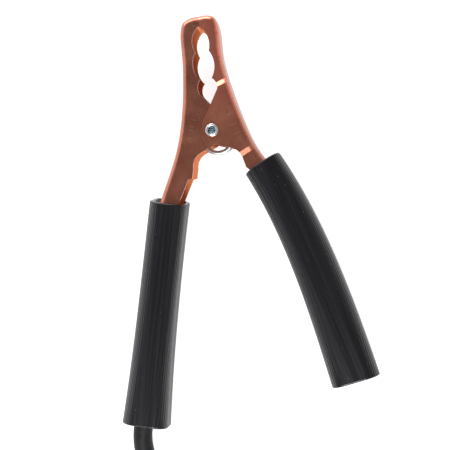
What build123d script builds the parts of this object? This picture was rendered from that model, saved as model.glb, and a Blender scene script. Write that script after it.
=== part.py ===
from build123d import *
import os
from math import cos, pi, radians, sin, tan

# Ground clamp for a welding earth lead: two stamped, copper-plated channels on one hollow rivet, a torsion
# spring that shuts the jaws, a soft sleeve on each handle, and a lead that is crimped into one handle.
# The clamp lies on its side. It is drawn with the pivot at x = y = 0, the jaws towards +Y, and z = 0 halfway
# between the cheeks. It is then moved so that the box of everything but the lead stands on the origin.
# All sizes are in millimetres.

# Stamped arms
SHEET = 1.3
CHANNEL_HALF = 7.7
EAR_GAP = 0.1
EAR_HALF = CHANNEL_HALF + EAR_GAP + SHEET
BEND = 2.9
TOE_GAP = 0.08
NOSE_DEPTH = 4.9
JAW_TIP_Y = 52.7
JOGGLE_RUN = 2.1
ARM_IN_GRIP = 90.0
HANDLE_STATIONS = (14.0, 32.0, 60.0, ARM_IN_GRIP)
EDGE_STATIONS = (4.5, 20.0, 45.0, ARM_IN_GRIP)
WEB_OFFSET = 5.2
WEB_FLARE = 1.6
EDGE_OFFSET = 4.3
EDGE_FLARE = 1.0
HOLLOW_STEPS = 24
NOSE_CROWDING = 1.6
OVERRUN = 3.0
CLEAR_OF_EAR = 13.0

# Pivot rivet
SHANK_R = 2.2
RUNNING_GAP = 0.05
ROLL_R = 2.95
ROLL_HEIGHT = 1.0
ROLL_SEAT_R = 2.75
ROLL_BULGE = 0.5
ROLL_LIP = 0.6
RIVET_BORE_R = 1.75
RIVET_BORE_DEPTH = 6.0
BORE_CONE = 0.8
HEAD_R = 4.4
HEAD_HEIGHT = 1.5
HEAD_RIM = 0.4

# Torsion spring
WIRE_R = 1.1
COIL_R = 7.1
COIL_CENTRE = (1.5, -3.3)
COIL_PITCH = 2.5
WHOLE_TURNS = 3
CABLE_LEG_LEAN = 37.0
FREE_LEG_LEAN = 34.0
LEG_LENGTH = 30.0

# Grip sleeves: the section is a rounded rectangle, as high as it is at every station
GRIP_HEIGHT = 21.6
GRIP_WALL = 1.5
GRIP_CORNER = 7.0
GRIP_STATIONS = 5
BEND_STEPS = 40

# Lead
CABLE_R = 4.7
ROPE_R = 0.9
ROPE_GAP = 0.02
CONDUCTOR_R = 3 * ROPE_R
CRIMP_SHEET = 1.1
CONDUCTOR_CRIMP = 56.0
CONDUCTOR_CRIMP_LENGTH = 8.0
JACKET_CRIMP = 79.0
JACKET_CRIMP_LENGTH = 9.0
CABLE_OFFSET = 0.4
BARE_START = 50.0
JACKET_START = 70.0
JACKET_END = 90.0
COIL_MIDDLE = (10.0, -236.0)
COIL_MEAN_R = 52.0
COIL_ROWS = 3
COIL_LAYERS = 2
COIL_TURNS = 5.58
TURN_SPACING = 9.5

# Lug, its sleeve and the tie
STUD_HOLE_R = 4.2
PALM_WIDTH = 16.0
PALM_LENGTH = 19.0
PALM_SHEET = 3.0
LUG_NECK = 5.0
BARREL_LENGTH = 20.0
BARREL_R = 3.9
BARREL_WALL = 1.1
LUG_SLEEVE_R = 5.5
LUG_SLEEVE_WALL = 0.75
SLEEVE_ON_CABLE = 10.0
SLEEVE_ON_BARREL = 16.0
SLEEVE_STEP = 3.0
TIE_WIDTH = 16.0
TIE_SHEET = 1.2
TIE_ANGLE = -60.0


class Grip:
    """A sleeve's bent centre line, its widths, and how far its ends are cut askew.

    A pair holds a value for the sleeve's start and one for its end. Leans are in degrees from -Y to +X.
    """

    def __init__(self, start, side, length, leans, widths, flare, skews):
        self.start = Vector(*start)
        self.side = side
        self.length = length
        self.lean_top, self.lean_end = leans
        self.width_top, self.width_end = widths
        self.flare = flare
        self.skew_top, self.skew_end = skews

    def heading(self, along):
        """The centre line's direction; most of its bend is near its start."""
        lean = radians(self.lean_end + (self.lean_top - self.lean_end) * (1 - along / self.length) ** 2)
        return Vector(sin(lean), -cos(lean))

    def point(self, along, outwards=0.0):
        """The plan point at a length along the centre line, moved towards the outer side of the clamp."""
        step = along / BEND_STEPS
        centre = self.start
        for index in range(BEND_STEPS):
            centre += self.heading(step * (index + 0.5)) * step
        heading = self.heading(along)
        return centre + Vector(-heading.Y, heading.X) * outwards * self.side

    def section(self, along, inset):
        """The sleeve's rounded section at a length along its centre line; an end may be cut askew."""
        share = along / self.length
        width = self.width_top + (self.width_end - self.width_top) * share**self.flare
        skew = self.skew_top * (1 - share) ** 4 + self.skew_end * share**4
        heading = self.heading(along)
        across = Vector(-heading.Y, heading.X)
        normal = heading + Vector(0, 0, tan(radians(skew)))
        plane = Plane(origin=self.point(along), x_dir=across, z_dir=normal)
        return plane * RectangleRounded(width - 2 * inset, GRIP_HEIGHT - 2 * inset, GRIP_CORNER - inset)


CABLE_GRIP = Grip((-25.5, -29.8), -1, 108.5, (-14.4, -13.5), (17.6, 22.2), 3, (-4.5, 8.0))
FREE_GRIP = Grip((20.7, -18.3), 1, 110.0, (26.0, 11.0), (18.4, 22.8), 1, (5.0, 8.0))

# Plan outlines. Each arm's back is a smooth line from its jaw to its grip, and its open side has three
# biting scallops, a round ear about the pivot and a neck that runs into the grip.
CABLE_BACK = [
    (-4.5, 52.4),
    (-7.4, 51.0),
    (-9.1, 47.4),
    (-9.9, 38.0),
    (-11.3, 22.5),
    (-15.0, 3.4),
    (-18.5, -7.4),
    (-28.4, -28.0),
]
CABLE_SCALLOPS = [
    (-0.7, 47.7),
    (-4.2, 40.6),
    (-3.3, 36.3),
    (-5.2, 30.6),
    (-2.7, 23.7),
    (-4.3, 20.2),
    (-3.6, 17.0),
]
CABLE_THROAT = (0.5, 11.75)
CABLE_EAR = [(2.6, 6.9), (4.4, 1.2), (0.6, -6.45)]
CABLE_NECK_ARC = [(-6.8, -9.6), (-10.0, -12.2), (-11.1, -16.0)]
CABLE_NOTCH = [(-12.3, -20.8), (-14.1, -20.9)]

FREE_BACK = [
    (4.1, 52.7),
    (7.2, 51.3),
    (8.4, 47.9),
    (8.3, 38.0),
    (9.9, 22.0),
    (14.3, 3.0),
    (18.2, -8.8),
    (22.2, -16.2),
]
FREE_SCALLOPS = [
    (0.6, 47.3),
    (3.75, 39.6),
    (3.1, 36.2),
    (4.85, 30.0),
    (2.85, 23.7),
    (4.75, 20.8),
    (4.9, 18.4),
]
FREE_EAR = [(-2.1, 6.9), (-4.35, 1.0), (0.5, -6.65)]
FREE_NECK_ARC = [(8.2, -9.3), (11.0, -11.6), (12.2, -14.2)]
FREE_NECK_END = (13.3, -18.8)

# Where the free arm's cheeks step outwards: two plan points of each line
JAW_JOGGLE = ((4.9, 19.2), (9.6, 20.9))
NECK_JOGGLE = ((11.6, -11.6), (18.0, -8.6))

# The free lead's route from the handle to the coil, and from the coil to the lug; z is above the floor.
# The coil's outer turn starts at ROUTE_IN's last point and its top turn ends at ROUTE_OUT's first.
ROUTE_IN = [
    (-47.5, -117.1, 10.8),
    (-49.6, -125.8, 10.8),
    (-55.0, -140.5, 10.8),
    (-54.0, -156.0, 9.6),
    (-51.0, -174.0, 6.0),
    (-50.6, -196.0, 4.7),
    (-51.1, -218.0, 4.7),
]
ROUTE_OUT = [
    (63.3, -205.3, 14.2),
    (51.0, -187.7, 17.5),
    (31.5, -179.8, 22.0),
    (10.6, -182.0, 24.4),
    (-7.9, -188.7, 24.4),
]


def stack(points):
    return [Vector(*point) for point in points]


def scallop_lines(points):
    """Three arcs through seven points that share their end points."""
    return [ThreePointArc(*points[first : first + 3]) for first in (0, 2, 4)]


def back_line(grip, back):
    """The smooth line of an arm's back: from the top of its toe, round the nose, and down its handle."""
    toe_top = (grip.side * TOE_GAP, JAW_TIP_Y)
    handle = [grip.point(along, WEB_OFFSET + WEB_FLARE * along / ARM_IN_GRIP) for along in HANDLE_STATIONS]
    return Spline(toe_top, *back, *handle)


def arm_face(grip, back, scallops, ear_side, neck):
    """The plan face of an arm: back, nose, toe, scallops, ear side, neck, and the handle in the grip."""
    toe_x = grip.side * TOE_GAP
    toe_top = (toe_x, JAW_TIP_Y)
    toe_end = (toe_x, JAW_TIP_Y - NOSE_DEPTH)
    grip_edge = []
    for along in EDGE_STATIONS:
        grip_edge.append(grip.point(along, -EDGE_OFFSET - EDGE_FLARE * along / ARM_IN_GRIP))
    back_edge = back_line(grip, back)
    open_side = [*neck, *grip_edge, back_edge @ 1]
    lines = [back_edge, *Polyline(*open_side).edges()]
    lines += ear_side + scallop_lines(scallops)
    lines += [Line(scallops[0], toe_end), Line(toe_end, toe_top)]
    return make_face(Wire(lines))


def cable_arm_face():
    ear_side = [
        Line(CABLE_SCALLOPS[-1], CABLE_THROAT),
        Line(CABLE_THROAT, CABLE_EAR[0]),
        ThreePointArc(*CABLE_EAR),
        Line(CABLE_EAR[-1], CABLE_NECK_ARC[0]),
        ThreePointArc(*CABLE_NECK_ARC),
    ]
    neck = [CABLE_NECK_ARC[-1], *CABLE_NOTCH]
    return arm_face(CABLE_GRIP, CABLE_BACK, CABLE_SCALLOPS, ear_side, neck)


def free_arm_face():
    ear_side = [
        Line(FREE_SCALLOPS[-1], FREE_EAR[0]),
        ThreePointArc(*FREE_EAR),
        Line(FREE_EAR[-1], FREE_NECK_ARC[0]),
        ThreePointArc(*FREE_NECK_ARC),
    ]
    neck = [FREE_NECK_ARC[-1], FREE_NECK_END]
    return arm_face(FREE_GRIP, FREE_BACK, FREE_SCALLOPS, ear_side, neck)


def hollow_face(grip, back):
    """The plan face of a channel's hollow: a sheet's thickness inside the back and the toe."""
    side = grip.side
    outer_back = back_line(grip, back)
    inner_back = []
    for step in range(2, HOLLOW_STEPS + 1):
        share = (step / HOLLOW_STEPS) ** NOSE_CROWDING
        heading = outer_back % share
        inner_back.append((outer_back @ share) + Vector(heading.Y, -heading.X) * SHEET * side)
    toe_x = side * (TOE_GAP + SHEET)
    toe_end = Vector(toe_x, JAW_TIP_Y - NOSE_DEPTH)
    spline = Spline((toe_x, JAW_TIP_Y - SHEET), *inner_back)
    past_end = ARM_IN_GRIP + OVERRUN
    open_side = [
        spline @ 1,
        (spline @ 1) + grip.heading(ARM_IN_GRIP) * OVERRUN,
        grip.point(past_end, -2 * CLEAR_OF_EAR),
        Vector(-CLEAR_OF_EAR * side, -CLEAR_OF_EAR),
        Vector(-CLEAR_OF_EAR * side, toe_end.Y),
        toe_end,
        spline @ 0,
    ]
    return make_face(Wire([spline, *Polyline(*open_side).edges()]))


def back_edges(block, half):
    """The block's top and bottom edges that run along the arm's back: its longest."""
    flat = [edge for edge in block.edges() if abs(abs((edge @ 0.5).Z) - half) < 0.01]
    return sorted(flat, key=lambda edge: edge.length)[-2:]


def channel(face, hollow, half):
    """A U channel of sheet: an outer block with round bends, less its hollow."""
    outer = extrude(face, amount=half, both=True)
    outer = fillet(back_edges(outer, half), BEND)
    return outer - extrude(hollow, amount=half - SHEET, both=True)


def upright_plane(line, outer_side, run):
    """The upright plane along a joggle's line, moved away from the pivot by run; it faces away too."""
    start = Vector(*line[0])
    along = (Vector(*line[1]) - start).normalized()
    outwards = Vector(-along.Y, along.X) * outer_side
    return Plane(origin=start + outwards * run, x_dir=along, z_dir=outwards)


def cut_face(body, plane):
    """The face that a cut along the plane left on the body."""
    level = [face for face in body.faces() if abs(face.normal_at().dot(plane.z_dir)) > 0.999]
    return min(level, key=lambda face: abs(plane.to_local_coords(face.center()).Z))


def joggled(narrow, wide, joggles):
    """The wide channel about the pivot, the narrow one beyond each joggle, and sloped sheet between them."""
    body = wide
    pieces = []
    for line, outer_side in joggles:
        near = upright_plane(line, outer_side, 0)
        far = upright_plane(line, outer_side, JOGGLE_RUN)
        body = split(body, bisect_by=near, keep=Keep.BOTTOM)
        beyond = split(narrow, bisect_by=far, keep=Keep.TOP)
        slope = loft([cut_face(body, near), cut_face(beyond, far)], ruled=True)
        pieces += [slope, beyond]
    for piece in pieces:
        body += piece
    return body


def crimp_band(along, length, inner_r):
    """A band of the cable arm's own sheet that is rolled round the cable and grows out of the back."""
    middle = CABLE_GRIP.point(along, CABLE_OFFSET)
    heading = CABLE_GRIP.heading(along)
    plane = Plane(origin=middle, x_dir=(-heading.Y, heading.X, 0), z_dir=heading)
    ring = Circle(inner_r + CRIMP_SHEET) - Circle(inner_r)
    back_offset = WEB_OFFSET + WEB_FLARE * along / ARM_IN_GRIP
    foot_length = back_offset - SHEET / 2 - CABLE_OFFSET - inner_r
    foot = Pos(-(inner_r + foot_length / 2), 0) * Rectangle(foot_length, 2 * inner_r)
    return extrude(plane * (ring + foot - Circle(inner_r)), amount=length)


def pivot_hole():
    return Cylinder(SHANK_R + RUNNING_GAP, 4 * EAR_HALF)


def make_cable_arm():
    body = channel(cable_arm_face(), hollow_face(CABLE_GRIP, CABLE_BACK), CHANNEL_HALF)
    body += crimp_band(CONDUCTOR_CRIMP, CONDUCTOR_CRIMP_LENGTH, CONDUCTOR_R)
    body += crimp_band(JACKET_CRIMP, JACKET_CRIMP_LENGTH, CABLE_R)
    return body - pivot_hole()


def make_free_arm():
    face = free_arm_face()
    hollow = hollow_face(FREE_GRIP, FREE_BACK)
    narrow = channel(face, hollow, CHANNEL_HALF)
    wide = channel(face, hollow, EAR_HALF)
    body = joggled(narrow, wide, [(JAW_JOGGLE, 1), (NECK_JOGGLE, -1)])
    return body - pivot_hole()


def make_pivot_rivet():
    """A semi-tubular rivet: a low domed head below, a plain shank, and a rolled end round a blind bore."""
    seat = EAR_HALF + RUNNING_GAP
    head_bottom = (0, -seat - HEAD_HEIGHT)
    dome = (0.7 * HEAD_R, -seat - 0.8 * HEAD_HEIGHT)
    head_side = (HEAD_R, -seat - HEAD_RIM)
    roll_seat = (ROLL_SEAT_R, seat)
    roll_crown = ((ROLL_R + RIVET_BORE_R) / 2, seat + ROLL_HEIGHT)
    roll_lip = (RIVET_BORE_R, seat + ROLL_HEIGHT - ROLL_LIP)
    inner_roll = (RIVET_BORE_R + ROLL_LIP / 4, seat + ROLL_HEIGHT - ROLL_LIP / 3)
    bore_end = (RIVET_BORE_R, seat + ROLL_HEIGHT - RIVET_BORE_DEPTH)
    bore_point = (0, seat + ROLL_HEIGHT - RIVET_BORE_DEPTH - BORE_CONE)
    section = make_face(Wire([
        ThreePointArc(head_bottom, dome, head_side),
        *Polyline(head_side, (HEAD_R, -seat), (SHANK_R, -seat), (SHANK_R, seat), roll_seat).edges(),
        ThreePointArc(roll_seat, (ROLL_R, seat + ROLL_BULGE), roll_crown),
        ThreePointArc(roll_crown, inner_roll, roll_lip),
        *Polyline(roll_lip, bore_end, bore_point, head_bottom).edges(),
    ]))
    return revolve(Plane.XZ * section, axis=Axis.Z)


def spring_leg(angle, lean, side, height):
    """A straight leg that leaves the coil at the angle, along its tangent, and leans from -Y."""
    start = Vector(*COIL_CENTRE, height) + Vector(cos(radians(angle)), sin(radians(angle))) * COIL_R
    heading = Vector(side * sin(radians(lean)), -cos(radians(lean)))
    return Plane(origin=start, z_dir=heading) * extrude(Circle(WIRE_R), amount=LEG_LENGTH)


def make_torsion_spring():
    first = FREE_LEG_LEAN
    last = 180.0 - CABLE_LEG_LEAN
    turns = WHOLE_TURNS + (last - first) / 360.0
    height = turns * COIL_PITCH
    path = Helix(pitch=COIL_PITCH, height=height, radius=COIL_R)
    wire_plane = Plane(origin=path @ 0, z_dir=path % 0)
    coil = sweep(wire_plane * Circle(WIRE_R), path=path)
    coil = Pos(*COIL_CENTRE, -height / 2) * Rot(0, 0, first) * coil
    free_leg = spring_leg(first, FREE_LEG_LEAN, 1, -height / 2)
    cable_leg = spring_leg(last, CABLE_LEG_LEAN, -1, height / 2)
    return coil + free_leg + cable_leg


def make_grip(grip):
    """A soft sleeve: an outer loft along the centre line less an inner one, open at both ends."""
    stations = [grip.length * step / (GRIP_STATIONS - 1) for step in range(GRIP_STATIONS)]
    outer = loft([grip.section(along, 0) for along in stations])
    inner = loft([grip.section(along, GRIP_WALL) for along in stations])
    return outer - inner


def round_bar(start, end, radius):
    return Plane(origin=start, z_dir=end - start) * extrude(Circle(radius), amount=(end - start).length)


def make_bare_conductor():
    """Seven ropes of fine copper wire, one in the middle and six round it."""
    start = CABLE_GRIP.point(BARE_START, CABLE_OFFSET)
    end = CABLE_GRIP.point(JACKET_START, CABLE_OFFSET)
    middle = Plane(origin=start, z_dir=end - start)
    rope = extrude(Circle(ROPE_R - ROPE_GAP), amount=(end - start).length)
    ring = [Rot(0, 0, 60 * step) * Pos(2 * ROPE_R, 0) * rope for step in range(6)]
    return Compound([middle * place for place in [rope, *ring]])


def make_cable_tail():
    start = CABLE_GRIP.point(JACKET_START, CABLE_OFFSET)
    end = CABLE_GRIP.point(JACKET_END, CABLE_OFFSET)
    return round_bar(start, end, CABLE_R)


def cable_run(name, route):
    """A tube of straight runs joined by arcs as large as the runs allow; prints its radii and its length."""
    points = stack(route)
    runs = [end - start for start, end in zip(points, points[1:])]
    radii = []
    for before, after in zip(runs, runs[1:]):
        half_turn = radians(before.get_angle(after)) / 2
        radii.append(0.45 * min(before.length, after.length) / tan(half_turn))
    path = FilletPolyline(*points, radius=radii)
    tube = sweep(Plane(origin=points[0], z_dir=runs[0]) * Circle(CABLE_R), path=path)
    share = tube.volume / (pi * CABLE_R**2 * path.length)
    radii = [round(radius) for radius in radii]
    print(name, "radii", radii, "length", round(path.length), "volume", round(share, 3))
    return tube


def coil_limits():
    half_width = TURN_SPACING * (COIL_ROWS - 1) / 2 + CABLE_R
    height = TURN_SPACING * (COIL_LAYERS - 1) + 2 * CABLE_R
    return half_width, height


def make_cable_coil():
    """The outer shape of the wound turns: a ring whose section is as round-cornered as the cable."""
    half_width, height = coil_limits()
    section = Pos(COIL_MEAN_R, height / 2) * RectangleRounded(2 * half_width, height, CABLE_R - 0.1)
    return Pos(*COIL_MIDDLE, 0) * revolve(Plane.XZ * section, axis=Axis.Z)


def make_coil_tie():
    """A strap looped round one side of the coil, square to its turns."""
    half_width, height = coil_limits()
    outer = Pos(COIL_MEAN_R, (height + TIE_SHEET) / 2) * RectangleRounded(
        2 * (half_width + TIE_SHEET), height + TIE_SHEET, CABLE_R
    )
    inner = Pos(COIL_MEAN_R, (height + TIE_SHEET) / 2) * RectangleRounded(
        2 * half_width, height - TIE_SHEET, CABLE_R - TIE_SHEET
    )
    strap = extrude(Plane.XZ * (outer - inner), amount=TIE_WIDTH / 2, both=True)
    return Pos(*COIL_MIDDLE, 0) * Rot(0, 0, TIE_ANGLE) * strap


def lug_place():
    """The lug's frame: +X from the cable's end towards the palm, +Z up."""
    before, end = stack(ROUTE_OUT[-2:])
    heading = end - before
    return Location(Plane(origin=end, x_dir=heading, z_dir=(0, 0, 1)))


def make_cable_lug():
    """A crimped tube that flattens into a round-ended palm with a hole for an M8 stud."""
    across = Plane.YZ
    barrel = extrude(across * (Circle(BARREL_R) - Circle(BARREL_R - BARREL_WALL)), amount=BARREL_LENGTH)
    palm_middle = -BARREL_R + PALM_SHEET / 2
    barrel_end = Plane(origin=(BARREL_LENGTH, 0, 0), x_dir=(0, 1, 0), z_dir=(1, 0, 0))
    palm_start = Plane(origin=(BARREL_LENGTH + LUG_NECK, 0, palm_middle), x_dir=(0, 1, 0), z_dir=(1, 0, 0))
    neck = loft([
        barrel_end * RectangleRounded(2 * BARREL_R, 2 * BARREL_R, BARREL_R - 0.2),
        palm_start * RectangleRounded(PALM_WIDTH - 2, PALM_SHEET, 0.4),
    ])
    palm_end = BARREL_LENGTH + PALM_LENGTH
    hole_x = palm_end - PALM_WIDTH / 2
    plate = Pos(hole_x, 0) * Circle(PALM_WIDTH / 2)
    plate += Pos((BARREL_LENGTH + LUG_NECK + hole_x) / 2, 0) * Rectangle(
        hole_x - BARREL_LENGTH - LUG_NECK, PALM_WIDTH
    )
    plate -= Pos(hole_x, 0) * Circle(STUD_HOLE_R)
    palm = Pos(0, 0, -BARREL_R) * extrude(plate, amount=PALM_SHEET)
    return lug_place() * (barrel + neck + palm)


def make_lug_sleeve():
    """Shrunk sleeve: it grips the cable's end and steps down on to the lug's barrel."""
    over_barrel = BARREL_R + LUG_SLEEVE_WALL
    section = make_face(Polyline(
        (-SLEEVE_ON_CABLE, CABLE_R),
        (-SLEEVE_ON_CABLE, LUG_SLEEVE_R),
        (0.0, LUG_SLEEVE_R),
        (SLEEVE_STEP, over_barrel),
        (SLEEVE_ON_BARREL, over_barrel),
        (SLEEVE_ON_BARREL, BARREL_R),
        (0.0, BARREL_R),
        (0.0, CABLE_R),
        close=True,
    ))
    return lug_place() * revolve(section, axis=Axis.X)


def make_clamp():
    """The clamp's own pieces, raised so that its sleeves lie on the floor."""
    pieces = {
        "cable_arm": make_cable_arm(),
        "free_arm": make_free_arm(),
        "pivot_rivet": make_pivot_rivet(),
        "torsion_spring": make_torsion_spring(),
        "cable_grip": make_grip(CABLE_GRIP),
        "free_grip": make_grip(FREE_GRIP),
        "bare_conductor": make_bare_conductor(),
        "cable_tail": make_cable_tail(),
    }
    return {name: Pos(0, 0, GRIP_HEIGHT / 2) * piece for name, piece in pieces.items()}


def make_lead():
    """The free cable and what is on it, drawn from the floor up."""
    return {
        "earth_cable": cable_run("earth_cable", ROUTE_IN),
        "cable_coil": make_cable_coil(),
        "cable_end": cable_run("cable_end", ROUTE_OUT),
        "cable_lug": make_cable_lug(),
        "lug_sleeve": make_lug_sleeve(),
        "coil_tie": make_coil_tie(),
    }


clamp = make_clamp()
clamp_box = Compound(list(clamp.values())).bounding_box()
to_origin = Pos(-clamp_box.center().X, -clamp_box.center().Y, -clamp_box.min.Z)
print("pivot", [round(value, 3) for value in to_origin.position], "size", clamp_box.size)
print("tail end", CABLE_GRIP.point(JACKET_END, CABLE_OFFSET))
print("coil length", round(2 * pi * COIL_MEAN_R * COIL_TURNS))
os.makedirs("parts", exist_ok=True)
for name, piece in {**clamp, **make_lead()}.items():
    export_step(to_origin * piece, f"parts/{name}.step")
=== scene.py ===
from math import ceil, cos, pi, radians, sin

import bpy
from mathutils import Matrix, Vector


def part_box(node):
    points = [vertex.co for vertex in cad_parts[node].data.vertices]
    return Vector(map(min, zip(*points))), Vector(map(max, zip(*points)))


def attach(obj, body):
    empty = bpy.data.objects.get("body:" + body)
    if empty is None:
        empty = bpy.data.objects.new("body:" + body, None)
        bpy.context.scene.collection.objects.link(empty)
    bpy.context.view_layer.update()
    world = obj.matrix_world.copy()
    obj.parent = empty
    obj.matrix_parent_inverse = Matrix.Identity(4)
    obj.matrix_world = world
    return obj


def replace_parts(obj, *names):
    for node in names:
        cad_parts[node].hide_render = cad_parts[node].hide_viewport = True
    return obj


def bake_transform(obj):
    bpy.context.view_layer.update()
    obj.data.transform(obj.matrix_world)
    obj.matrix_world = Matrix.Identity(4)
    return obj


# A welding ground clamp that lies on its side, seen from almost straight above. Blender works in
# metres. Plan points are in millimetres from the rivet's axis, with heights from the floor, and
# spot() places them. MID_HEIGHT is the channels' middle height in millimetres.
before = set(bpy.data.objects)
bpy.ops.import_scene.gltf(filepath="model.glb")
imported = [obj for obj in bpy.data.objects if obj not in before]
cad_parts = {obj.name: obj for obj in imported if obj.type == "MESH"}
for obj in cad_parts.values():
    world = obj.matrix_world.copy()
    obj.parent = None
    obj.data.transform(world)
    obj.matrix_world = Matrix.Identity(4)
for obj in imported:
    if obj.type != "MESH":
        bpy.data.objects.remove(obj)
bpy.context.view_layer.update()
rivet_low, rivet_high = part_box("pivot_rivet")
arm_low, arm_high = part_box("cable_arm")
PIVOT = (rivet_low + rivet_high) / 2
MID_HEIGHT = 1000 * (arm_low.z + arm_high.z) / 2

# Camera
EYE = (46.4, -32.0, 360.8)
AIM = (-0.9, -44.2, 10.8)
PICTURE_UP = (0.1305, 0.9914, 0.0)
LENS = 59.9
SENSOR_WIDTH = 36.0

# Floor and lights, in metres and watts. A softbox is its name, place, size and power.
FLOOR_HALF = 6.0
WORLD_LIGHT = 0.22
LIGHTS_FACE = (0, 0, 0.01)
SOFTBOXES = [
    ("left_softbox", (-0.75, 0.05, 0.30), (1.0, 0.5), 1.6),
    ("right_softbox", (0.75, -0.05, 0.30), (1.0, 0.5), 0.5),
    ("top_softbox", (-0.20, 0.75, 0.24), (0.9, 0.35), 4.8),
    ("near_softbox", (-0.05, -0.70, 0.70), (0.5, 0.3), 7.0),
    ("low_softbox", (0.32, -0.80, 0.45), (0.4, 0.3), 0.7),
]

# Lead
CABLE_R = 4.7
ROUTE_IN = [
    (-47.5, -117.1, 10.8),
    (-49.6, -125.8, 10.8),
    (-55.0, -140.5, 10.8),
    (-54.0, -156.0, 9.6),
    (-51.0, -174.0, 6.0),
    (-50.6, -196.0, 4.7),
    (-51.1, -218.0, 4.7),
]
ROUTE_OUT = [
    (63.3, -205.3, 14.2),
    (51.0, -187.7, 17.5),
    (31.5, -179.8, 22.0),
    (10.6, -182.0, 24.4),
    (-7.9, -188.7, 24.4),
]
COIL_MIDDLE = (10.0, -236.0)
COIL_MEAN_R = 52.0
COIL_HALF_WIDTH = 14.2
COIL_HEIGHT = 18.9
COIL_POINT_ANGLE = 20
# The coil's winding: (angle wound to, radius, height). Between a pair with unlike radii or heights
# it steps over.
COIL_STOPS = [
    (180, 61.5, 4.7),
    (480, 61.5, 4.7),
    (540, 52.0, 4.7),
    (840, 52.0, 4.7),
    (900, 42.5, 4.7),
    (1200, 42.5, 4.7),
    (1260, 42.5, 14.2),
    (1500, 42.5, 14.2),
    (1560, 52.0, 14.2),
    (1860, 52.0, 14.2),
    (1920, 61.5, 14.2),
    (2160, 61.5, 14.2),
]

# Lug's sleeve
BARREL_R = 3.9
LUG_SLEEVE_R = 5.5
LUG_SLEEVE_WALL = 0.75
LUG_SLEEVE_GAP = 0.05
LUG_SLEEVE_SIDES = 48
SLEEVE_ON_CABLE = 10.0
SLEEVE_ON_BARREL = 16.0

# Coil's tie
TIE_ANGLE = -60.0
TIE_WIDTH = 16.0
TIE_SHEET = 0.6
TIE_GAP = 0.1
TIE_LAP_POINTS = 14
TIE_CORNER_STEPS = 8

# Grip sleeves. A rim place is (distance from the sleeve's end, inset, rib depth).
GRIP_HEIGHT = 21.6
GRIP_WALL = 1.5
GRIP_CORNER = 7.0
GRIP_LIP = 0.45
BEND_STEPS = 40
LENGTH_STEPS = 44
BORE_STEPS = 12
RIBS = 60
POINTS_PER_RIB = 6
RIB_DEPTH = 0.14
FLAT_SIDE_RIB_SHARE = 0.2
RIM = [(0.1, 0.25, RIB_DEPTH), (0.0, 0.6, 0.0), (0.0, GRIP_WALL - 0.3, 0.0)]

# Torsion spring
WIRE_R = 1.1
WIRE_SIDES = 16
SPRING_R = 7.1
SPRING_CENTRE = (1.5, -3.3)
SPRING_PITCH = 2.5
WHOLE_TURNS = 3
SPRING_STEP_ANGLE = 10
CABLE_LEG_LEAN = 37.0
FREE_LEG_LEAN = 34.0
PLACES_ALONG_LEG = [3.0, 10.0, 20.0, 30.0]

# Small tool marks on the stamped arms, painted pale; on the two at the nose, which are creases,
# the pale tone is a painted highlight. Each is plan middle, length and angle from +X in degrees
CABLE_ARM_MARKS = [
    (-8.3, 6.0, 2.7, -21),
    (-9.4, 3.1, 1.9, -22),
    (-9.7, 1.3, 2.2, -23),
    (-10.8, -2.3, 2.5, -19),
    (-11.1, -3.6, 2.2, -26),
    (-4.1, -4.0, 3.4, -69),
    (-2.0, 48.3, 3.7, -18),
]
FREE_ARM_MARKS = [
    (8.6, 6.1, 3.1, 18),
    (9.8, 1.2, 4.2, 15),
    (11.0, -2.9, 3.2, 22),
    (2.7, 48.4, 3.6, 48),
]
MARK_HALF_WIDTH = 0.00013
MARK_HALF_DEPTH = 0.05

# Copper plate: leans of its rolling lines in degrees, and lengths in metres
CABLE_ARM_GRAIN = 10
FREE_ARM_GRAIN = -18
INSIDE_LIMIT = 0.0067
INSIDE_BLUR = 0.0001
EDGE_REACH = 0.0005

# Colours
CABLE_ARM_JAW = (0.48, 0.15, 0.095, 1)
CABLE_ARM_HANDLE = (0.52, 0.165, 0.10, 1)
FREE_ARM_JAW = (0.93, 0.27, 0.175, 1)
FREE_ARM_HANDLE = (0.60, 0.19, 0.115, 1)
COPPER_CLOUD = (0.80, 0.36, 0.24, 1)
COPPER_ROLLED = (0.86, 0.48, 0.34, 1)
COPPER_SPOT = (0.24, 0.09, 0.06, 1)
# Painted shade: darker tone for copper faces that turn sideways
COPPER_SIDE_WALL_SHADE = (0.28, 0.075, 0.035, 1)
# Partly edge wear, partly a painted highlight along sharp edges
COPPER_EDGE_WEAR_AND_HIGHLIGHT = (0.98, 0.33, 0.18, 1)
# Tool marks, and a painted highlight on the nose creases
COPPER_MARK_AND_CREASE_HIGHLIGHT = (0.95, 0.60, 0.48, 1)
# Painted reflection: bright orange for the light that copper bounces onto copper inside the channel
COPPER_INSIDE_PAINTED_BOUNCE = (1.0, 0.34, 0.13, 1)
ZINC_PALE = (0.90, 0.92, 0.93, 1)
ZINC_GREY = (0.82, 0.85, 0.88, 1)
# Painted shade: darker, bluer tone for the rivet's bore
ZINC_BORE_SHADE = (0.60, 0.69, 0.76, 1)
WIRE_PALE = (0.80, 0.81, 0.82, 1)
WIRE_GREY = (0.58, 0.59, 0.61, 1)
PVC_BLACK = (0.005, 0.005, 0.006, 1)
PVC_DARK = (0.011, 0.010, 0.014, 1)
PVC_STREAK = (0.018, 0.017, 0.022, 1)
PVC_SCUFF = (0.030, 0.029, 0.035, 1)
PVC_DUST = (0.17, 0.17, 0.18, 1)
RUBBER_BLACK = (0.013, 0.013, 0.015, 1)
RUBBER_DARK = (0.024, 0.024, 0.027, 1)
RUBBER_TALC = (0.05, 0.05, 0.055, 1)
STRAND_BRIGHT = (0.86, 0.42, 0.25, 1)
STRAND_TARNISH = (0.42, 0.20, 0.13, 1)
TIN_PALE = (0.74, 0.73, 0.70, 1)
TIN_GREY = (0.57, 0.56, 0.54, 1)
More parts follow.
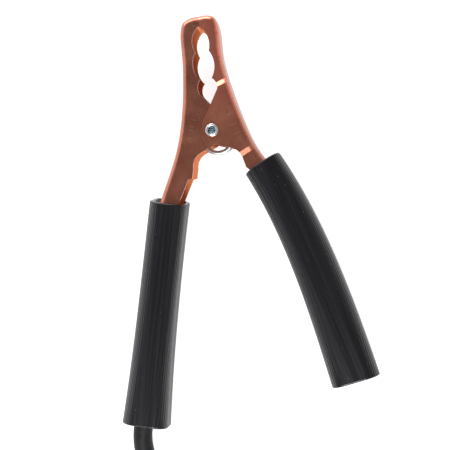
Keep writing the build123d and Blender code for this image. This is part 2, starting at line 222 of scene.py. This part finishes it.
SHRINK_BLACK = (0.018, 0.018, 0.019, 1)
SHRINK_DARK = (0.035, 0.035, 0.037, 1)
STRAP_HOLLOW = (0.012, 0.012, 0.014, 1)
STRAP_THREAD = (0.040, 0.040, 0.045, 1)
STRAP_FUZZ = (0.075, 0.075, 0.08, 1)
FLOOR_GREY = (0.55, 0.55, 0.55, 1)
FLOOR_PALE = (0.57, 0.57, 0.57, 1)
WHITE = (1, 1, 1, 1)


def spot(x, y, z):
    """The place in metres of a plan point and a height in millimetres."""
    return Vector((PIVOT.x + x / 1000, PIVOT.y + y / 1000, z / 1000))


def link(name, data):
    piece = bpy.data.objects.new(name, data)
    bpy.context.collection.objects.link(piece)
    return piece


def mesh_piece(name, points, faces):
    mesh = bpy.data.meshes.new(name)
    mesh.from_pydata(points, [], faces)
    mesh.shade_smooth()
    return link(name, mesh)


def ring_faces(rings, size, closed=False):
    """Quads between neighbouring rings of size points. Closed joins the last ring to the first."""
    faces = []
    for ring in range(rings if closed else rings - 1):
        here = ring * size
        there = (ring + 1) % rings * size
        for point in range(size):
            after = (point + 1) % size
            faces.append((here + point, here + after, there + after, there + point))
    return faces


def dress(piece, material, body):
    piece.data.materials.append(material)
    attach(piece, body)
    return piece


# Materials


class Look:
    """A material, with short calls that add nodes to it. Lengths in its coordinates are metres."""

    def __init__(self, name, **shader_inputs):
        self.material = bpy.data.materials.new(name)
        self.material.use_nodes = True
        self.tree = self.material.node_tree
        self.shader = self.tree.nodes["Principled BSDF"]
        coordinates = self.add("TexCoord").outputs
        self.place = coordinates["Object"]
        self.facing = coordinates["Normal"]
        for socket, value in shader_inputs.items():
            self.shader.inputs[socket.replace("_", " ")].default_value = value

    def add(self, kind, **settings):
        node = self.tree.nodes.new("ShaderNode" + kind)
        for name, value in settings.items():
            setattr(node, name, value)
        return node

    def feed(self, socket, value):
        if isinstance(value, bpy.types.NodeSocket):
            self.tree.links.new(value, socket)
        else:
            socket.default_value = value

    def mapped(self, sizes, turn=0.0, tilt=0.0, middle=(0, 0, 0)):
        """Coordinates from middle, turned and tilted by degrees, in units of sizes metres."""
        node = self.add("Mapping", vector_type="TEXTURE")
        self.feed(node.inputs["Vector"], self.place)
        self.feed(node.inputs["Location"], middle)
        self.feed(node.inputs["Rotation"], (0, radians(tilt), radians(turn)))
        self.feed(node.inputs["Scale"], sizes)
        return node.outputs["Vector"]

    def noise(self, scale, detail=3.0, place=None):
        node = self.add("TexNoise")
        self.feed(node.inputs["Vector"], place or self.place)
        self.feed(node.inputs["Scale"], scale)
        self.feed(node.inputs["Detail"], detail)
        return node.outputs["Fac"]

    def between(self, value, from_low, from_high, low, high):
        node = self.add("MapRange")
        for socket, number in zip(node.inputs, (value, from_low, from_high, low, high)):
            self.feed(socket, number)
        return node.outputs["Result"]

    def share(self, value, none_at, most_at, most=1.0):
        """0 where value is none_at or beyond, rising to most where it is most_at or beyond."""
        return self.between(value, none_at, most_at, 0.0, most)

    def math(self, operation, first, second=0.0):
        node = self.add("Math", operation=operation)
        self.feed(node.inputs[0], first)
        self.feed(node.inputs[1], second)
        return node.outputs["Value"]

    def mix(self, share, first, second):
        node = self.add("Mix", data_type="RGBA")
        self.feed(node.inputs["Factor"], share)
        self.feed(node.inputs[6], first)
        self.feed(node.inputs[7], second)
        return node.outputs[2]

    def bump(self, height, distance, strength=1.0, below=None):
        node = self.add("Bump")
        self.feed(node.inputs["Height"], height)
        self.feed(node.inputs["Distance"], distance)
        self.feed(node.inputs["Strength"], strength)
        if below:
            self.feed(node.inputs["Normal"], below)
        return node.outputs["Normal"]

    def parts(self, vector):
        node = self.add("SeparateXYZ")
        self.feed(node.inputs["Vector"], vector)
        return node.outputs

    def length(self, vector):
        node = self.add("VectorMath", operation="LENGTH")
        self.feed(node.inputs[0], vector)
        return node.outputs["Value"]

    def marks(self, marks):
        """1 on short thin strokes across the arm and 0 elsewhere."""
        total = 0.0
        for x, y, length, angle in marks:
            sizes = (length / 2000, MARK_HALF_WIDTH, MARK_HALF_DEPTH)
            stroke = self.mapped(sizes, angle, middle=spot(x, y, 0))
            total = self.math("MAXIMUM", total, self.share(self.length(stroke), 1.6, 0.2))
        return total

    def edge_wear_and_highlight(self):
        """Up to 0.8 near sharp edges, where a rounded surface would turn away from this one. It
        marks edge wear and a painted highlight along the edges.
        """
        rounded = self.add("Bevel", samples=4)
        self.feed(rounded.inputs["Radius"], EDGE_REACH)
        agreement = self.add("VectorMath", operation="DOT_PRODUCT")
        self.feed(agreement.inputs[0], rounded.outputs["Normal"])
        self.feed(agreement.inputs[1], self.add("NewGeometry").outputs["Normal"])
        return self.share(agreement.outputs["Value"], 0.995, 0.88, 0.8)

    def finish(self, colour=None, roughness=None, normal=None):
        sockets = (("Base Color", colour), ("Roughness", roughness), ("Normal", normal))
        for socket, value in sockets:
            if value is not None:
                self.feed(self.shader.inputs[socket], value)
        return self.material


def inside_channel(look, height, level, facing_y):
    """1 on the cheeks' inner faces and on the toe's inner face, which looks towards the handle."""
    from_middle = look.math("ABSOLUTE", look.math("SUBTRACT", height, MID_HEIGHT / 1000))
    between_cheeks = look.share(from_middle, INSIDE_LIMIT + INSIDE_BLUR, INSIDE_LIMIT - INSIDE_BLUR)
    hidden = look.math("MAXIMUM", look.share(level, 0.7, 0.9), look.share(facing_y, -0.7, -0.9))
    return look.math("MULTIPLY", between_cheeks, hidden)


def copper_look(name, handle_tone, jaw_tone, marks, lean):
    """Lacquered copper plate on stamped steel. Outside it is metal under lacquer. Inside the
    channel
    its faces are a bright, matt orange: painted reflection of the light that copper bounces onto
    copper there. It has cloudy patches, rolling lines, specks and tool marks, with a painted
    highlight on the nose creases; side walls are darker as painted shade, and edges are brighter,
    partly from rubbing and partly as a painted highlight."""
    look = Look(name, Coat_Roughness=0.15)
    cloud = look.noise(90.0, 5.0)
    rolled = look.noise(1.0, 4.0, look.mapped((0.0004, 0.011, 0.0011), lean))
    speck = look.noise(1500.0, 2.0)
    strokes = look.marks(marks)
    spots = look.share(look.noise(420.0, 6.0), 0.60, 0.72, 0.3)
    place = look.parts(look.place)
    facing = look.parts(look.facing)
    level = look.math("ABSOLUTE", facing["Z"])
    side_wall = look.share(level, 0.85, 0.25, 0.85)
    inside = inside_channel(look, place["Z"], level, facing["Y"])
    towards_jaw = look.share(place["Y"], PIVOT.y - 0.005, PIVOT.y + 0.025)
    tone = look.mix(towards_jaw, handle_tone, jaw_tone)
    tone = look.mix(look.share(cloud, 0.35, 0.75, 0.35), tone, COPPER_CLOUD)
    tone = look.mix(look.share(rolled, 0.40, 0.75, 0.18), tone, COPPER_ROLLED)
    tone = look.mix(spots, tone, COPPER_SPOT)
    # Painted shade: faces that turn sideways, the webs, bends and cut edges, are painted darker.
    tone = look.mix(side_wall, tone, COPPER_SIDE_WALL_SHADE)
    # Near sharp edges the tone is brighter and redder: partly rubbed wear, partly a painted
    # highlight where a rounded edge would catch light.
    tone = look.mix(look.edge_wear_and_highlight(), tone, COPPER_EDGE_WEAR_AND_HIGHLIGHT)
    # Pale strokes: tool marks, and on the nose creases a painted highlight.
    tone = look.mix(look.math("MULTIPLY", strokes, 0.6), tone, COPPER_MARK_AND_CREASE_HIGHLIGHT)
    # Painted reflection: the channel's inner faces are painted bright orange, without metal or
    # lacquer, for the light that copper bounces onto copper.
    tone = look.mix(inside, tone, COPPER_INSIDE_PAINTED_BOUNCE)
    wear = look.math("ADD", cloud, look.math("MULTIPLY", speck, 0.5))
    roughness = look.between(wear, 0.45, 1.05, 0.26, 0.42)
    roughness = look.math("ADD", roughness, look.math("MULTIPLY", inside, 0.4))
    roughness = look.math("ADD", roughness, look.math("MULTIPLY", side_wall, 0.12))
    normal = look.bump(rolled, 0.00003, 0.5)
    normal = look.bump(speck, 0.00003, 0.5, normal)
    normal = look.bump(strokes, 0.00004, 0.6, normal)
    look.feed(look.shader.inputs["Metallic"], look.between(inside, 0.0, 1.0, 1.0, 0.0))
    look.feed(look.shader.inputs["Coat Weight"], look.between(inside, 0.0, 1.0, 0.4, 0.0))
    return look.finish(tone, roughness, normal)


def zinc_look(name):
    """Bright zinc with faint turning rings. The rivet's bore is painted darker and bluer than its
    rolled rim, as painted shade in the recess.
    """
    look = Look(name, Metallic=1.0)
    mottle = look.noise(260.0, 3.0)
    from_axis = look.length(look.mapped((0.001, 0.001, 1.0), middle=PIVOT))
    bore = look.share(from_axis, 1.95, 1.7)
    rings = look.math("SINE", look.math("MULTIPLY", from_axis, 40.0))
    tone = look.mix(look.share(mottle, 0.35, 0.65), ZINC_PALE, ZINC_GREY)
    # Painted shade: the bore is painted darker and bluer.
    tone = look.mix(bore, tone, ZINC_BORE_SHADE)
    roughness = look.between(mottle, 0.35, 0.65, 0.34, 0.42)
    return look.finish(tone, roughness, look.bump(rings, 0.000003, 0.2))


def spring_look(name):
    """Plated spring wire with drawn lines and darker patches."""
    look = Look(name, Metallic=1.0)
    patches = look.noise(350.0, 4.0)
    drawn = look.noise(1.0, 3.0, look.mapped((0.002, 0.002, 0.0002)))
    tone = look.mix(look.share(patches, 0.48, 0.75), WIRE_PALE, WIRE_GREY)
    roughness = look.between(patches, 0.3, 0.7, 0.34, 0.45)
    return look.finish(tone, roughness, look.bump(drawn, 0.00001, 0.2))


def pvc_look(name, lean):
    """Extruded soft PVC: streaks along the sleeve, faint scuffs, dust specks and a glossy skin."""
    look = Look(name, Coat_Weight=0.4, Coat_Roughness=0.06, Specular_IOR_Level=0.3)
    streak = look.noise(1.0, 3.0, look.mapped((0.0012, 0.08, 0.0012), lean))
    broad = look.noise(1.0, 2.0, look.mapped((0.0045, 0.2, 0.0045), lean))
    scuff = look.noise(1.0, 5.0, look.mapped((0.002, 0.010, 0.002), lean))
    pits = look.noise(1900.0, 3.0)
    dust = look.noise(1150.0, 1.0)
    tone = look.mix(look.share(broad, 0.35, 0.65), PVC_BLACK, PVC_DARK)
    tone = look.mix(look.share(streak, 0.45, 0.75, 0.5), tone, PVC_STREAK)
    tone = look.mix(look.share(scuff, 0.66, 0.74, 0.5), tone, PVC_SCUFF)
    tone = look.mix(look.share(dust, 0.785, 0.80, 0.8), tone, PVC_DUST)
    roughness = look.between(look.math("ADD", streak, broad), 0.8, 1.25, 0.22, 0.42)
    normal = look.bump(streak, 0.00005, 0.5)
    return look.finish(tone, roughness, look.bump(pits, 0.00002, 0.4, normal))


def jacket_look(name):
    """Rubber cable jacket: dull, faintly mottled, with fine talc marks."""
    look = Look(name, Specular_IOR_Level=0.2)
    mottle = look.noise(240.0, 5.0)
    grain = look.noise(2300.0, 3.0)
    talc = look.noise(620.0, 3.0)
    tone = look.mix(look.share(mottle, 0.35, 0.65), RUBBER_BLACK, RUBBER_DARK)
    tone = look.mix(look.share(talc, 0.62, 0.76, 0.35), tone, RUBBER_TALC)
    roughness = look.between(mottle, 0.3, 0.7, 0.42, 0.58)
    return look.finish(tone, roughness, look.bump(grain, 0.00005, 0.5))


def bare_copper_look(name):
    """Bare copper ropes of fine wires that run at a slant."""
    look = Look(name, Metallic=1.0)
    wires = look.add("TexWave", bands_direction="DIAGONAL")
    look.feed(wires.inputs["Vector"], look.place)
    look.feed(wires.inputs["Scale"], 1300.0)
    tarnish = look.noise(500.0, 4.0)
    tone = look.mix(look.share(tarnish, 0.4, 0.7), STRAND_BRIGHT, STRAND_TARNISH)
    roughness = look.between(tarnish, 0.3, 0.7, 0.25, 0.5)
    return look.finish(tone, roughness, look.bump(wires.outputs["Fac"], 0.00015))


def tin_look(name):
    """Satin tin plate with a soft, grainy bloom."""
    look = Look(name, Metallic=1.0)
    bloom = look.noise(260.0, 5.0)
    grain = look.noise(1700.0, 3.0)
    tone = look.mix(look.share(bloom, 0.35, 0.65), TIN_PALE, TIN_GREY)
    roughness = look.between(bloom, 0.3, 0.7, 0.24, 0.44)
    return look.finish(tone, roughness, look.bump(grain, 0.00003, 0.5))


def shrink_look(name):
    """Shrunk polyolefin tube: dull, with soft ripples."""
    look = Look(name)
    ripple = look.noise(420.0, 3.0)
    fine = look.noise(2100.0, 2.0)
    tone = look.mix(look.share(ripple, 0.3, 0.7), SHRINK_BLACK, SHRINK_DARK)
    roughness = look.between(ripple, 0.3, 0.7, 0.5, 0.64)
    normal = look.bump(ripple, 0.00015, 0.5)
    return look.finish(tone, roughness, look.bump(fine, 0.00003, 0.4, normal))


def strap_look(name):
    """Woven strap: two crossing sets of fine threads, with a fuzzy sheen."""
    look = Look(name, Sheen_Weight=0.3, Sheen_Roughness=0.6)
    weave = 1.0
    for tilt in (45, -45):
        threads = look.add("TexWave", bands_direction="X")
        place = look.mapped((0.0024, 0.0024, 0.0024), TIE_ANGLE + tilt, tilt)
        look.feed(threads.inputs["Vector"], place)
        look.feed(threads.inputs["Scale"], 1.0)
        look.feed(threads.inputs["Distortion"], 0.6)
        weave = look.math("MULTIPLY", weave, threads.outputs["Fac"])
    fuzz = look.noise(900.0, 5.0)
    tone = look.mix(weave, STRAP_HOLLOW, STRAP_THREAD)
    tone = look.mix(look.share(fuzz, 0.5, 0.75, 0.5), tone, STRAP_FUZZ)
    roughness = look.between(fuzz, 0.3, 0.7, 0.75, 0.95)
    return look.finish(tone, roughness, look.bump(weave, 0.00025, 0.8))


def floor_look(name):
    """A white light table: matt acrylic with a barely visible grain, lit from below."""
    look = Look(name, Emission_Color=WHITE, Emission_Strength=0.85)
    grain = look.noise(60.0, 4.0)
    tone = look.mix(look.share(grain, 0.3, 0.7), FLOOR_GREY, FLOOR_PALE)
    return look.finish(tone, 0.9)


# Camera, floor and lights


def make_camera():
    data = bpy.data.cameras.new("camera")
    data.sensor_width = SENSOR_WIDTH
    data.lens = LENS
    camera = link("camera", data)
    eye = spot(*EYE)
    backwards = (eye - spot(*AIM)).normalized()
    right = Vector(PICTURE_UP).cross(backwards).normalized()
    up = backwards.cross(right)
    turn = Matrix((right, up, backwards)).transposed().to_4x4()
    camera.matrix_world = Matrix.Translation(eye) @ turn
    bpy.context.scene.camera = camera


def make_floor():
    corners = [(-1, -1), (1, -1), (1, 1), (-1, 1)]
    points = [(x * FLOOR_HALF, y * FLOOR_HALF, 0) for x, y in corners]
    floor = mesh_piece("floor", points, [(0, 1, 2, 3)])
    floor.data.materials.append(floor_look("light_table"))


def area_light(name, place, size, power):
    """A soft light that faces the middle of the clamp."""
    data = bpy.data.lights.new(name, "AREA")
    data.shape = "RECTANGLE"
    data.size, data.size_y = size
    data.energy = power
    light = link(name, data)
    light.location = place
    aim = Vector(LIGHTS_FACE) - light.location
    light.rotation_euler = aim.to_track_quat("-Z", "Y").to_euler()


def make_light():
    world = bpy.data.worlds.new("studio")
    world.use_nodes = True
    background = world.node_tree.nodes["Background"]
    background.inputs["Color"].default_value = WHITE
    background.inputs["Strength"].default_value = WORLD_LIGHT
    bpy.context.scene.world = world
    for softbox in SOFTBOXES:
        area_light(*softbox)
    bpy.context.scene.view_settings.view_transform = "Standard"


# Lead


def coil_points():
    """The coil's control points, a little outside its line so that the line keeps its circles."""
    widening = 1 / cos(radians(COIL_POINT_ANGLE / 2))
    points = []
    for here, after in zip(COIL_STOPS, COIL_STOPS[1:]):
        angle, radius, height = here
        next_angle, next_radius, next_height = after
        for step in range(0, next_angle - angle, COIL_POINT_ANGLE):
            share = step / (next_angle - angle)
            around = radians(angle + step)
            reach = (radius + (next_radius - radius) * share) * widening
            x = COIL_MIDDLE[0] + reach * cos(around)
            y = COIL_MIDDLE[1] + reach * sin(around)
            points.append((x, y, height + (next_height - height) * share))
    return points


def make_lead():
    """The free cable as one smooth line: from the handle, round the coil, and up to the lug."""
    data = bpy.data.curves.new("lead", "CURVE")
    data.dimensions = "3D"
    data.resolution_u = 6
    data.bevel_depth = CABLE_R / 1000
    data.bevel_resolution = 5
    data.use_fill_caps = True
    route = ROUTE_IN + coil_points() + ROUTE_OUT
    spline = data.splines.new("NURBS")
    spline.points.add(len(route) - 1)
    for point, place in zip(spline.points, route):
        point.co = (*spot(*place), 1.0)
    spline.order_u = 3
    spline.use_endpoint_u = True
    lead = dress(link("lead", data), jacket_look("cable_rubber"), "cable_side")
    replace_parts(lead, "earth_cable", "cable_coil", "cable_end")
    return lead


def make_lug_sleeve():
    """Shrunk tube round the cable's end, tight on the cable and necked down to the lug's barrel."""
    before, end = (spot(*place) for place in ROUTE_OUT[-2:])
    axis = (end - before).normalized()
    upwards = Vector((0, 0, 1))
    sideways = axis.cross(upwards).normalized()
    over_barrel = BARREL_R + LUG_SLEEVE_WALL
    profile = [
        (-SLEEVE_ON_CABLE, CABLE_R + LUG_SLEEVE_GAP),
        (-SLEEVE_ON_CABLE, LUG_SLEEVE_R - 0.35),
        (-SLEEVE_ON_CABLE + 0.4, LUG_SLEEVE_R - 0.1),
        (-5.0, LUG_SLEEVE_R),
        (-0.5, LUG_SLEEVE_R - 0.05),
        (1.0, LUG_SLEEVE_R - 0.4),
        (2.4, over_barrel + 0.15),
        (5.0, over_barrel),
        (SLEEVE_ON_BARREL - 0.4, over_barrel),
        (SLEEVE_ON_BARREL, over_barrel - 0.3),
        (SLEEVE_ON_BARREL, BARREL_R + LUG_SLEEVE_GAP),
    ]
    points = []
    for along, radius in profile:
        for side in range(LUG_SLEEVE_SIDES):
            angle = 2 * pi * side / LUG_SLEEVE_SIDES
            outwards = sideways * cos(angle) + upwards * sin(angle)
            points.append(end + axis * along / 1000 + outwards * radius / 1000)
    faces = ring_faces(len(profile), LUG_SLEEVE_SIDES)
    sleeve = mesh_piece("shrink_sleeve", points, faces)
    dress(sleeve, shrink_look("shrink_tube"), "cable_side")
    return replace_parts(sleeve, "lug_sleeve")


def strap_line(lift):
    """A strap's way round the coil's section: (distance from the coil's middle, height) pairs."""
    half_width = COIL_HALF_WIDTH + lift
    half_height = (COIL_HEIGHT + lift) / 2
    corner = CABLE_R + lift
    line = []
    for quarter in range(4):
        centre_x = (half_width - corner) * (1 if quarter in (0, 3) else -1)
        centre_z = (half_height - corner) * (1 if quarter < 2 else -1)
        for step in range(TIE_CORNER_STEPS + 1):
            angle = pi / 2 * (quarter + step / TIE_CORNER_STEPS)
            line.append((centre_x + corner * cos(angle), centre_z + corner * sin(angle)))
    return [(COIL_MEAN_R + across, half_height + up) for across, up in line]


def make_tie():
    """A hook-and-loop strap round the coil, with its outer end lapped over the top."""
    around = radians(TIE_ANGLE)
    outwards = Vector((cos(around), sin(around), 0))
    sideways = Vector((-sin(around), cos(around), 0))
    inner = strap_line(TIE_GAP)
    outer = strap_line(TIE_SHEET)
    lap = strap_line(2 * TIE_SHEET)[:TIE_LAP_POINTS]
    middle = spot(*COIL_MIDDLE, 0)
    points = []
    faces = []
    for low_line, high_line in ((inner, outer), (outer[:TIE_LAP_POINTS], lap)):
        first = len(points)
        closed = low_line is inner
        for low, high in zip(low_line, high_line):
            for (reach, height), side in ((low, -1), (high, -1), (high, 1), (low, 1)):
                level = outwards * reach + sideways * side * TIE_WIDTH / 2
                points.append(middle + (level + Vector((0, 0, height))) / 1000)
        for face in ring_faces(len(low_line), 4, closed):
            faces.append([first + corner for corner in face])
    tie = mesh_piece("strap_tie", points, faces)
    bevel = tie.modifiers.new("soft_edges", "BEVEL")
    bevel.width = 0.00015
    bevel.segments = 2
    dress(tie, strap_look("woven_strap"), "cable_side")
    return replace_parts(tie, "coil_tie")


# Grips


class Sleeve:
    """A grip's bent centre line and its tapered, ribbed section, in millimetres.

    A pair holds a value for the sleeve's start and one for its end. Leans are in degrees from -Y
    to +X. Skews are the degrees that its end faces lean from square.
    """

    def __init__(self, start, length, leans, widths, flare, skews):
        self.start = Vector(start)
        self.length = length
        self.lean_top, self.lean_end = leans
        self.width_top, self.width_end = widths
        self.flare = flare
        self.skew_top, self.skew_end = skews

    def heading(self, along):
        """The centre line's direction; most of its bend is near its start."""
        unbent = (1 - along / self.length) ** 2
        lean = radians(self.lean_end + (self.lean_top - self.lean_end) * unbent)
        return Vector((sin(lean), -cos(lean)))

    def centre(self, along):
        step = along / BEND_STEPS
        centre = self.start.copy()
        for index in range(BEND_STEPS):
            centre += self.heading(step * (index + 0.5)) * step
        return centre

    def ring(self, along, inset, rib_depth):
        """One ring of the sleeve in metres, with grooves that are deepest on its narrow sides."""
        share = along / self.length
        width = self.width_top + (self.width_end - self.width_top) * share**self.flare
        skew = radians(self.skew_top * (1 - share) ** 4 + self.skew_end * share**4)
        heading = self.heading(along)
        across = Vector((-heading.y, heading.x))
        centre = self.centre(along)
        half_height = GRIP_HEIGHT / 2 - inset
        outline = rounded_outline(width / 2 - inset, half_height, GRIP_CORNER - inset)
        ring = []
        for step, (place, normal) in enumerate(outline):
            groove = 0.5 - 0.5 * cos(2 * pi * step / POINTS_PER_RIB)
            side_share = FLAT_SIDE_RIB_SHARE + (1 - FLAT_SIDE_RIB_SHARE) * abs(normal.x)
            place = place - normal * rib_depth * groove * side_share
            plan = centre + across * place.x - heading * place.y * sin(skew)
            ring.append(spot(plan.x, plan.y, MID_HEIGHT + place.y * cos(skew)))
        return ring


def rounded_outline(half_width, half_height, corner):
    """Points spread evenly round a rounded rectangle, each with its outward direction."""
    count = RIBS * POINTS_PER_RIB
    flat_x = half_width - corner
    flat_y = half_height - corner
    bend = corner * pi / 2
    sides = [
        (Vector((-flat_x, flat_y)), Vector((1, 0)), 2 * flat_x),
        (Vector((flat_x, flat_y)), Vector((0, -1)), 2 * flat_y),
        (Vector((flat_x, -flat_y)), Vector((-1, 0)), 2 * flat_x),
        (Vector((-flat_x, -flat_y)), Vector((0, 1)), 2 * flat_y),
    ]
    total = sum(length + bend for start, heading, length in sides)
    outline = []
    for point in range(count):
        left = total * point / count
        for start, heading, length in sides:
            if left < length + bend:
                break
            left -= length + bend
        turned = max(0.0, left - length) / corner
        outwards = Vector((-heading.y, heading.x))
        normal = outwards * cos(turned) + heading * sin(turned)
        outline.append((start + heading * min(left, length) + normal * corner, normal))
    return outline


def make_grip(name, node, sleeve, body):
    """A ribbed sleeve with a rounded rim at both ends and a smooth bore."""
    end = sleeve.length
    run = end - 4 * GRIP_LIP
    stations = [2 * GRIP_LIP + run * step / LENGTH_STEPS for step in range(LENGTH_STEPS + 1)]
    ribbed = [(along, 0.0, RIB_DEPTH) for along in [GRIP_LIP, *stations, end - GRIP_LIP]]
    end_rim = [(end - distance, inset, depth) for distance, inset, depth in RIM]
    bore = [(end * (1 - step / BORE_STEPS), GRIP_WALL, 0.0) for step in range(BORE_STEPS + 1)]
    top_rim = RIM[::-1]
    rings = [sleeve.ring(*place) for place in ribbed + end_rim + bore + top_rim]
    points = [point for ring in rings for point in ring]
    grip = mesh_piece(name, points, ring_faces(len(rings), len(rings[0]), closed=True))
    lean = (sleeve.lean_top + 2 * sleeve.lean_end) / 3
    dress(grip, pvc_look(name + "_pvc", lean), body)
    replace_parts(grip, node)


CABLE_SLEEVE = Sleeve((-25.5, -29.8), 108.5, (-14.4, -13.5), (17.6, 22.2), 3, (-4.5, 8.0))
FREE_SLEEVE = Sleeve((20.7, -18.3), 110.0, (26.0, 11.0), (18.4, 22.8), 1, (5.0, 8.0))


# Spring


def wire_line():
    """The spring's centre line: free leg, coil from low to high, cable leg. Legs are tangents."""
    first = FREE_LEG_LEAN
    last = 180.0 - CABLE_LEG_LEAN
    turned = 360 * WHOLE_TURNS + last - first
    height = turned / 360 * SPRING_PITCH
    centre = Vector((*SPRING_CENTRE, MID_HEIGHT))
    steps = ceil(turned / SPRING_STEP_ANGLE)
    line = []
    for step in range(steps + 1):
        angle = radians(first + turned * step / steps)
        rise = height * (step / steps - 0.5)
        line.append(centre + Vector((SPRING_R * cos(angle), SPRING_R * sin(angle), rise)))
    free_lean = radians(FREE_LEG_LEAN)
    cable_lean = radians(CABLE_LEG_LEAN)
    free_heading = Vector((sin(free_lean), -cos(free_lean), 0))
    cable_heading = Vector((-sin(cable_lean), -cos(cable_lean), 0))
    free_leg = [line[0] + free_heading * along for along in reversed(PLACES_ALONG_LEG)]
    cable_leg = [line[-1] + cable_heading * along for along in PLACES_ALONG_LEG]
    return free_leg + line + cable_leg


def make_spring():
    """A round wire along its line. Its low leg lies along the free arm, its high leg along the
    cable arm.
    """
    line = wire_line()
    points = []
    for index, place in enumerate(line):
        before = line[max(index - 1, 0)]
        after = line[min(index + 1, len(line) - 1)]
        heading = (after - before).normalized()
        level = heading.cross(Vector((0, 0, 1))).normalized()
        upright = level.cross(heading)
        for side in range(WIRE_SIDES):
            angle = 2 * pi * side / WIRE_SIDES
            offset = level * cos(angle) + upright * sin(angle)
            points.append(spot(*(place + offset * WIRE_R)))
    faces = ring_faces(len(line), WIRE_SIDES)
    faces.append(tuple(range(WIRE_SIDES)))
    faces.append(tuple(range(len(points) - 1, len(points) - 1 - WIRE_SIDES, -1)))
    spring = mesh_piece("spring_wire", points, faces)
    spring.data.materials.append(spring_look("spring_wire_plate"))
    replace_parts(spring, "torsion_spring")
    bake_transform(spring)


# The CAD pieces that stay


def paint(node, material):
    """Gives a kept CAD piece its material."""
    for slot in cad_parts[node].material_slots:
        slot.material = material


def paint_metal():
    cable_arm_copper = copper_look(
        "copper_cable_arm", CABLE_ARM_HANDLE, CABLE_ARM_JAW, CABLE_ARM_MARKS, CABLE_ARM_GRAIN
    )
    free_arm_copper = copper_look(
        "copper_free_arm", FREE_ARM_HANDLE, FREE_ARM_JAW, FREE_ARM_MARKS, FREE_ARM_GRAIN
    )
    paint("cable_arm", cable_arm_copper)
    paint("free_arm", free_arm_copper)
    paint("pivot_rivet", zinc_look("rivet_zinc"))
    paint("bare_conductor", bare_copper_look("conductor_copper"))
    paint("cable_tail", jacket_look("tail_rubber"))
    paint("cable_lug", tin_look("lug_tin"))


make_camera()
lead = make_lead()
lug_sleeve = make_lug_sleeve()
tie = make_tie()
make_grip("cable_handle_sleeve", "cable_grip", CABLE_SLEEVE, "cable_side")
make_grip("free_handle_sleeve", "free_grip", FREE_SLEEVE, "free_side")
make_spring()
paint_metal()
make_floor()
make_light()
